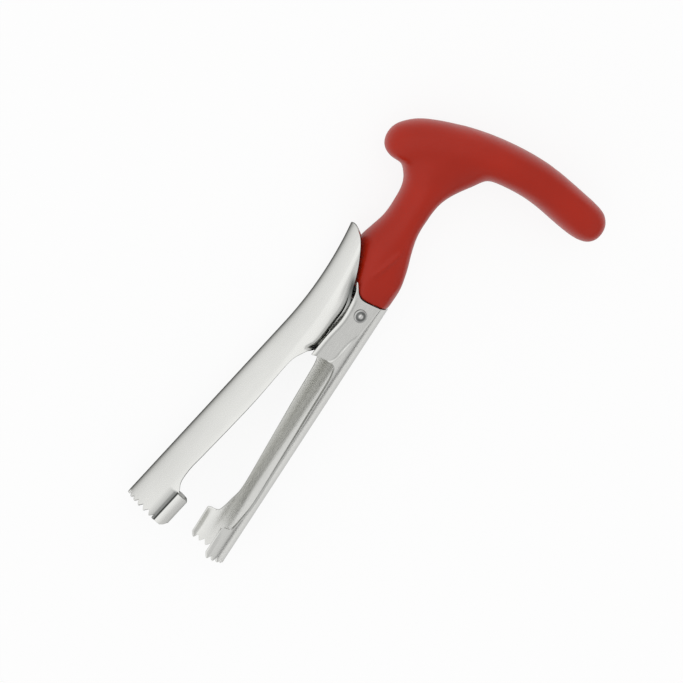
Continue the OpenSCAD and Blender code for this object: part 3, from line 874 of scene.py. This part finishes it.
class CORER_OT_grip(bpy.types.Operator):
    """Builds the red grip as one smooth moulding over the solids' form"""

    bl_idname = "corer.grip"
    bl_label = "Grip"

    # Smoothing of an even mesh: rounds where neck and arms meet, about a height, then everywhere.
    voxel, strength, rounds = 0.6 * MM, 0.5, 9
    meet_rounds, meet_y, meet_half = 40, 58, 17 * MM
    # The neck's ridge: its ends and section, the least facing of its side, and how full its ends are.
    ridge_foot, ridge_top = (-1.7, 13.7, 0), (3.3, 27.0, 0)
    ridge_height, ridge_half = 0.7 * MM, 0.9 * MM
    ridge_facing, ridge_power = 0.5, 0.6

    def execute(self, context):
        looks = context.scene.corer_finish
        form = Form(context.scene.corer_sizes)
        solid = bmesh.new()
        solid.from_mesh(frame["nodes"]["handle_grip"].data)
        bmesh.ops.remove_doubles(solid, verts=solid.verts[:], dist=WELD)
        red = satin_plastic("red_grip_plastic", looks.red, looks.red_rough, grain=2600)
        blank = finish_mesh("grip_blank", solid, red, None)
        voxels = blank.modifiers.new("Even", "REMESH")
        voxels.mode = "VOXEL"
        voxels.voxel_size = self.voxel
        context.view_layer.update()
        even = bmesh.new()
        even.from_object(blank, context.evaluated_depsgraph_get())
        bpy.data.objects.remove(blank)
        meet = form.row(0, self.meet_y, 0)
        self.smooth(even, [v for v in even.verts if abs(v.co.y - meet.y) < self.meet_half], self.meet_rounds)
        self.smooth(even, even.verts[:], self.rounds)
        self.ridge(form, even)
        finish_mesh("red_grip_moulding", even, red, FIXED, ["handle_grip"])
        return {"FINISHED"}

    def smooth(self, bm, verts, rounds):
        axes = {"use_axis_x": True, "use_axis_y": True, "use_axis_z": True}
        for _ in range(rounds):
            bmesh.ops.smooth_vert(bm, verts=verts, factor=self.strength, **axes)

    def ridge(self, form, bm):
        """The soft slanted ridge on both sides of the neck."""
        foot = form.row(*self.ridge_foot)
        way = form.row(*self.ridge_top) - foot
        bm.normal_update()
        for v in bm.verts:
            flat = Vector((v.co.x - foot.x, v.co.y - foot.y, 0))
            share = flat.dot(way) / way.length_squared
            if 0 < share < 1 and abs(v.normal.z) > self.ridge_facing:
                off = (flat - way * share).length / self.ridge_half
                ends = math.sin(math.pi * share) ** self.ridge_power
                v.co += v.normal * (self.ridge_height * math.exp(-off * off) * ends)


class CORER_OT_spring(bpy.types.Operator):
    """Builds the return spring as round wire whose free leg follows the finger tab"""

    bl_idname = "corer.spring"
    bl_label = "Return spring"

    # Radius to the wire's middle, the wire, the rise of one turn, and the coil's whole turn.
    coil_r, wire, turn_rise, whole_turn = 4.2, 1.0, 1.6, math.radians(4 * 360 + 135)
    # Heights of the fixed leg's points. Gap from the free leg's tip to the tab, and the search for it.
    fixed_leg = (12.1, 8.0, 4.1)
    tip_gap, tip_step, tip_tries = 1.0, 0.05, 1000
    # Points and segments of the wire, its share of the full thickness, and where bending starts.
    coil_points, leg_points, wire_segments, wire_share = 140, 8, 3, 0.985
    bend_gap = 0.4

    def execute(self, context):
        looks = context.scene.corer_finish
        form = Form(context.scene.corer_sizes)
        path, tip = self.path(form)
        curve = bpy.data.curves.new("spring_line", "CURVE")
        curve.dimensions = "3D"
        curve.bevel_depth = self.wire / 2 * MM * self.wire_share
        curve.bevel_resolution = self.wire_segments
        curve.use_fill_caps = True
        line = curve.splines.new("POLY")
        line.points.add(len(path) - 1)
        for point, place in zip(line.points, path):
            point.co = (*form.row(*place), 1)
        holder = add_object("spring_line", curve)
        context.view_layer.update()
        made = holder.evaluated_get(context.evaluated_depsgraph_get())
        bm = bmesh.new()
        bm.from_mesh(bpy.data.meshes.new_from_object(made))
        bpy.data.objects.remove(holder)
        bmesh.ops.remove_doubles(bm, verts=bm.verts[:], dist=WELD)
        bmesh.ops.recalc_face_normals(bm, faces=bm.faces[:])
        steel = polished_steel("spring_wire_steel", looks.wire, rough=0.26)
        piece = finish_mesh("return_spring_wire", bm, steel, None, ["return_spring"])
        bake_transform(piece)
        return {"FINISHED"}

    def path(self, form):
        """The wire's middle line from the fixed leg round the coil to the free leg's tip, and that tip."""
        rise = self.turn_rise * self.whole_turn / math.tau

        def coil(share):
            turn = self.whole_turn * share
            x, y = self.coil_r * math.cos(turn), -self.coil_r * math.sin(turn)
            return form.pivot + x, y, rise * (share - 0.5)

        leave = coil(1.0)
        way = (-math.sin(self.whole_turn), -math.cos(self.whole_turn))
        tries = [self.tip_step * k for k in range(self.tip_tries)]
        reach = max(d for d in tries if self.room(form, leave, way, d) > self.tip_gap)
        tip = (leave[0] + reach * way[0], leave[1] + reach * way[1], leave[2])
        path = [(form.pivot + self.coil_r, y, -rise / 2) for y in self.fixed_leg]
        path += [coil(share) for share in spaced(0.0, 1.0, steps=self.coil_points)]
        for t in parts(self.leg_points):
            path.append(tuple(mix(a, b, t) for a, b in zip(leave, tip)))
        return path, tip

    def room(self, form, leave, way, d):
        """Distance from the free leg, at a length from the coil, to the tab's inner face in the rest pose."""
        x, y = leave[0] + d * way[0] - form.pivot, leave[1] + d * way[1]
        c, s = math.cos(form.opened), math.sin(form.opened)
        up = max(x * s + y * c - form.sweep_from, 0.0)
        wall = math.sqrt((form.r - form.t) ** 2 - leave[2] ** 2) + up * up / (2 * form.sweep)
        return x * c - y * s + form.pivot + wall


class CORER_OT_hardware(bpy.types.Operator):
    """Builds the two rivet halves, and gives the washers, bush and core their finishes"""

    bl_idname = "corer.hardware"
    bl_label = "Rivet and inner parts"

    # Head of the rivet from its middle to its rim, in mm: distance out, height, and how dark its painted
    # shade is, a dark ring of painted reflection round the dome and painted shade at and under the rim.
    head = (
        ((0, 0.92, 0), (0.3, 0.91, 0), (0.55, 0.87, 0.04), (0.8, 0.80, 0.45), (1.0, 0.71, 0.78))
        + ((1.25, 0.62, 0.88), (1.5, 0.58, 0.84), (1.75, 0.58, 0.66), (1.95, 0.57, 0.36), (2.15, 0.51, 0.3))
        + ((2.32, 0.40, 0.55), (2.4, 0.25, 0.8), (2.42, 0.0, 1.0), (2.0, -0.02, 1.0))
    )
    # Radius of the two barrels and of the innermost ring, and segments of every ring.
    socket_barrel, stud_barrel, barrel_gap = 2.0, 1.35, 0.1
    pole, segments = 0.02, 48

    def execute(self, context):
        looks = context.scene.corer_finish
        shine = polished_steel("rivet_polished", looks.rivet, rough=0.13)
        nylon = satin_plastic("dark_nylon", looks.dark, rough=0.5, grain=3000)
        core = satin_plastic("core_plastic_dark", looks.dark, rough=0.55, grain=2200)
        form = Form(context.scene.corer_sizes)
        self.rivet(form, shine, 1, self.socket_barrel, "rivet_near", "rivet_socket")
        self.rivet(form, shine, -1, self.stud_barrel, "rivet_far", "rivet_stud")
        for name, material in (("pivot_washers", nylon), ("spring_bush", nylon), ("handle_core", core)):
            slots = frame["nodes"][name].data.materials
            slots.clear()
            slots.append(material)
        return {"FINISHED"}

    def rivet(self, form, steel, side, barrel, name, node):
        """A turned head with a low dome on a flat shoulder, a dark ring of painted reflection where they
        meet, painted shade at the rim, and its share of the barrel.
        """
        base = form.cheek_at(0)
        profile = [(out, base + up, dark) for out, up, dark in self.head]
        profile += [(barrel, base - self.barrel_gap, 1.0), (barrel, 0.0, 1.0)]
        bm = bmesh.new()
        layer = bm.verts.layers.float.new(MARKS)
        rings, loops = [], []
        for out, up, dark in profile:
            ring, edges = add_circle(bm, max(out, self.pole) * MM, self.segments)
            for v in ring:
                v.co = form.row(form.pivot, 0, side * up) + Vector((v.co.x, v.co.y, 0))
                # Painted reflection and shade: each ring of the head is darkened by its listed share.
                v[layer] = dark
            rings.append(ring)
            loops.append(edges)
        for a, b in zip(loops, loops[1:]):
            bmesh.ops.bridge_loops(bm, edges=list(a | b))
        bmesh.ops.contextual_create(bm, geom=rings[0])
        bmesh.ops.contextual_create(bm, geom=rings[-1])
        bmesh.ops.recalc_face_normals(bm, faces=bm.faces[:])
        finish_mesh(name, bm, steel, FIXED, [node])


class CORER_OT_stage(bpy.types.Operator):
    """Sets the pale floor, the studio light and the photograph's camera"""

    bl_idname = "corer.stage"
    bl_label = "Stage and camera"

    # The floor's half side, glow and finish, the softbox, and the camera with the rivet's height.
    floor_half, floor_glow, white = 3.0, 0.88, (1, 1, 1, 1)
    floor_finish = {"Base Color": (0.93, 0.93, 0.93, 1), "Roughness": 0.9, "Specular IOR Level": 0.0}
    lamp_place, lamp_size, lamp_power = Vector((-0.35, 0.35, 1.3)), 1.6, 0.9
    sensor, clip_start, clip_end, rivet_up = 36, 0.05, 20, 0.9

    def execute(self, context):
        scene = context.scene
        scene.view_settings.view_transform = "Standard"
        self.floor()
        self.sky(scene)
        self.lamp()
        self.camera(context)
        return {"FINISHED"}

    def floor(self):
        """A floor that looks white, also in the metal, and keeps the corer's shadow."""
        material, tree, shader = finish("pale_floor")
        for key, value in self.floor_finish.items():
            shader.inputs[key].default_value = value
        rays = add_node(tree, "LightPath").outputs
        seen = rays["Is Camera Ray"]
        for key in ("Is Glossy Ray", "Is Transmission Ray"):
            seen = add_node(tree, "Math", links={0: seen, 1: rays[key]}, operation="MAXIMUM").outputs[0]
        part = add_node(tree, "Math", {1: self.floor_glow}, {0: seen}, operation="MULTIPLY").outputs[0]
        glow = add_node(tree, "Emission", {"Color": self.white}).outputs["Emission"]
        both = add_node(tree, "MixShader", links={0: part, 1: shader.outputs["BSDF"], 2: glow})
        tree.links.new(both.outputs[0], tree.nodes["Material Output"].inputs["Surface"])
        bm = bmesh.new()
        bmesh.ops.create_grid(bm, x_segments=1, y_segments=1, size=self.floor_half)
        floor = add_mesh("floor", bm, material)

    def sky(self, scene):
        """A bright ceiling, and walls from bright ahead of the opening blade to dark behind the fixed one."""
        world = bpy.data.worlds.new("studio")
        scene.world = world
        world.use_nodes = True
        tree = world.node_tree
        tree.nodes.clear()
        place = add_node(tree, "TexCoord").outputs["Generated"]
        way = add_node(tree, "SeparateXYZ", links={0: place}).outputs
        soft = {"interpolation_type": "SMOOTHSTEP"}
        wall = ramp(tree, way["X"], low=1.0, high=0.05, start=-0.1, end=0.95, **soft)
        height = ramp(tree, way["Z"], low=0.0, high=1.0, start=0.04, end=0.30, **soft)
        slope = ramp(tree, way["X"], low=1.02, high=0.64, start=0.0, end=0.36, **soft)
        far = ramp(tree, way["X"], low=0.0, high=0.15, start=0.42, end=0.62, **soft)
        upper = add_node(tree, "Math", links={0: slope, 1: far}, operation="ADD").outputs[0]
        links = {SHARE: height, VALUE_A: wall, VALUE_B: upper}
        bright = add_node(tree, "Mix", links=links, data_type="FLOAT").outputs[VALUE_OUT]
        room = add_node(tree, "Background", {"Color": self.white}, {"Strength": bright})
        add_node(tree, "OutputWorld", links={"Surface": room.outputs[0]})

    def lamp(self):
        """One wide softbox overhead, turned to the corer."""
        light = bpy.data.lights.new("overhead_softbox", "AREA")
        light.shape = "SQUARE"
        light.size = self.lamp_size
        light.energy = self.lamp_power
        holder = add_object("overhead_softbox", light)
        holder.location = self.lamp_place
        holder.rotation_euler = (-self.lamp_place).to_track_quat("-Z", "Y").to_euler()

    def camera(self, context):
        """The photograph's camera, with the rivet at its place in the picture."""
        view = context.scene.corer_view
        form = Form(context.scene.corer_sizes)
        turn = Matrix.Rotation(-view.turn, 4, "Y") @ Matrix.Rotation(-view.lift, 4, "X")
        turn @= Matrix.Rotation(math.pi / 2 - view.lean, 4, "Z")
        rivet = form.row(form.pivot, 0, form.cheek_at(0) + self.rivet_up)
        middle = view.frame_px / 2
        across, up = (middle - view.rivet_x) / view.scale, (view.rivet_y - middle) / view.scale
        place = rivet + turn @ Vector((across, up, view.distance))
        lens = bpy.data.cameras.new("photo_camera")
        lens.sensor_width = self.sensor
        lens.lens = self.sensor * view.distance * view.scale / view.frame_px
        lens.clip_start, lens.clip_end = self.clip_start, self.clip_end
        holder = add_object("photo_camera", lens)
        holder.matrix_world = Matrix.Translation(place) @ turn
        context.scene.camera = holder


class CORER_PT_panel(bpy.types.Panel):
    """Lists the corer's pieces, sizes and finishes"""

    bl_idname = "CORER_PT_panel"
    bl_label = "Hinged apple corer"
    bl_space_type = "VIEW_3D"
    bl_region_type = "UI"
    bl_category = "Corer"

    def draw(self, context):
        layout = self.layout
        for step in STEPS:
            layout.operator(step.bl_idname)
        for group in (context.scene.corer_sizes, context.scene.corer_finish, context.scene.corer_view):
            box = layout.box()
            for name in group.__annotations__:
                box.prop(group, name)


STEPS = (
    CORER_OT_stage,
    CORER_OT_fixed_blade,
    CORER_OT_opening_blade,
    CORER_OT_grip,
    CORER_OT_spring,
    CORER_OT_hardware,
)
GROUPS = {"corer_sizes": CorerSizes, "corer_finish": CorerFinish, "corer_view": CorerView}
add_classes, remove_classes = bpy.utils.register_classes_factory((*GROUPS.values(), *STEPS, CORER_PT_panel))


def register():
    add_classes()
    for name, group in GROUPS.items():
        setattr(bpy.types.Scene, name, bpy.props.PointerProperty(type=group))


def unregister():
    for name in GROUPS:
        delattr(bpy.types.Scene, name)
    remove_classes()


def main():
    register()
    bpy.ops.corer.stage()
    bpy.ops.corer.fixed_blade()
    bpy.ops.corer.opening_blade()
    bpy.ops.corer.grip()
    bpy.ops.corer.spring()
    bpy.ops.corer.hardware()


if __name__ == "__main__":
    main()
